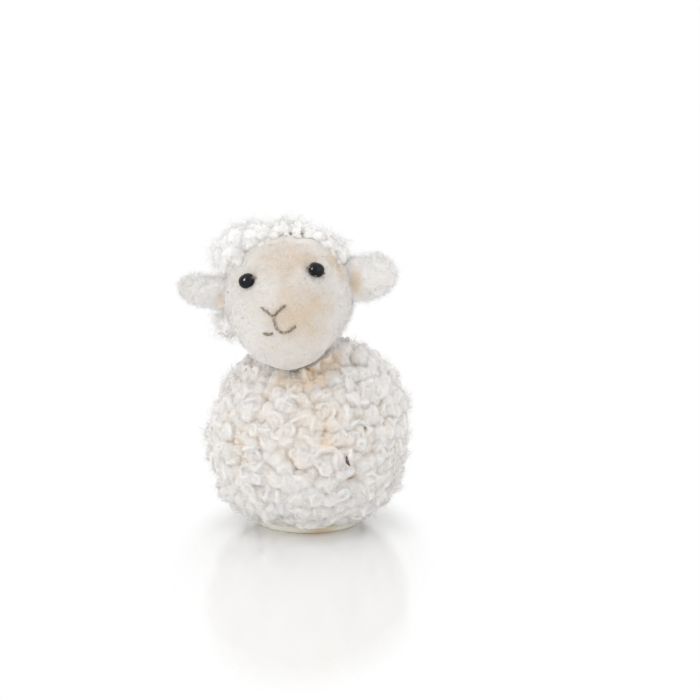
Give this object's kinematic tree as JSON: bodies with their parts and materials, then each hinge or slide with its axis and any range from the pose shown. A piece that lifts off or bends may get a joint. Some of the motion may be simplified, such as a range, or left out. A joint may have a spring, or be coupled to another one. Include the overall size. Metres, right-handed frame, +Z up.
{
  "type": "felted sheep figurine",
  "caption": "Palm-sized needle-felted lamb with a round curly-fleece body, smooth turning head, soft folding ears, glass bead eyes and a stitched nose and smile.",
  "frame": {"origin": "middle of the underside of the base pad, on the surface that the sheep stands on", "axes": "+Z up, the sheep faces -Y, its own left side is at +X"},
  "size_m": [0.0595, 0.056, 0.0797],
  "materials": {
    "pad_felt": "smooth cream felt",
    "core_wool": "dense felted wool",
    "body_fleece": "curly wool locks",
    "cap_fleece": "soft curly wool",
    "face_felt": "fine fuzzy felt",
    "ear_felt": "fine fuzzy felt",
    "black_bead": "polished black glass",
    "brown_thread": "twisted floss"
  },
  "bodies": {
    "body": {"base_pad": "pad_felt", "body_core": "core_wool", "neck_stem": "core_wool", "body_curls_row_01": "body_fleece", "body_curls_row_02": "body_fleece", "body_curls_row_03": "body_fleece", "body_curls_row_04": "body_fleece", "body_curls_row_05": "body_fleece", "body_curls_row_06": "body_fleece", "body_curls_row_07": "body_fleece", "body_curls_row_08": "body_fleece", "body_curls_row_09": "body_fleece", "body_curls_row_10": "body_fleece", "body_curls_row_11": "body_fleece", "body_curls_row_12": "body_fleece"},
    "head": {"head_felt": "face_felt", "head_curls_row_1": "cap_fleece", "head_curls_row_2": "cap_fleece", "head_curls_row_3": "cap_fleece", "head_curls_row_4": "cap_fleece", "head_curls_row_5": "cap_fleece", "left_eye_bead": "black_bead", "right_eye_bead": "black_bead", "left_eye_thread": "brown_thread", "right_eye_thread": "brown_thread", "mouth_stitch_left": "brown_thread", "mouth_stitch_right": "brown_thread", "nose_stitch_left": "brown_thread", "nose_stitch_right": "brown_thread", "philtrum_stitch": "brown_thread"},
    "left_ear": {"left_ear": "ear_felt"},
    "right_ear": {"right_ear": "ear_felt"}
  },
  "joints": [
    {"name": "head_turn", "type": "hinge", "parent": "body", "child": "head", "pos_m": [0, 0, 0.023], "axis": [-0.1222, -0.2233, 0.9671], "range_deg": [-20, 20], "stiffness_Nm_per_rad": 0.01},
    {"name": "left_ear_fold", "type": "hinge", "parent": "head", "child": "left_ear", "pos_m": [0.01043, -0.00956, 0.06515], "axis": [-0.3429, 0.1759, 0.9227], "range_deg": [-20, 20], "stiffness_Nm_per_rad": 0.0003},
    {"name": "right_ear_fold", "type": "hinge", "parent": "head", "child": "right_ear", "pos_m": [-0.02051, -0.00631, 0.06022], "axis": [-0.111, -0.4601, -0.8809], "range_deg": [-20, 20], "stiffness_Nm_per_rad": 0.0003}
  ]
}
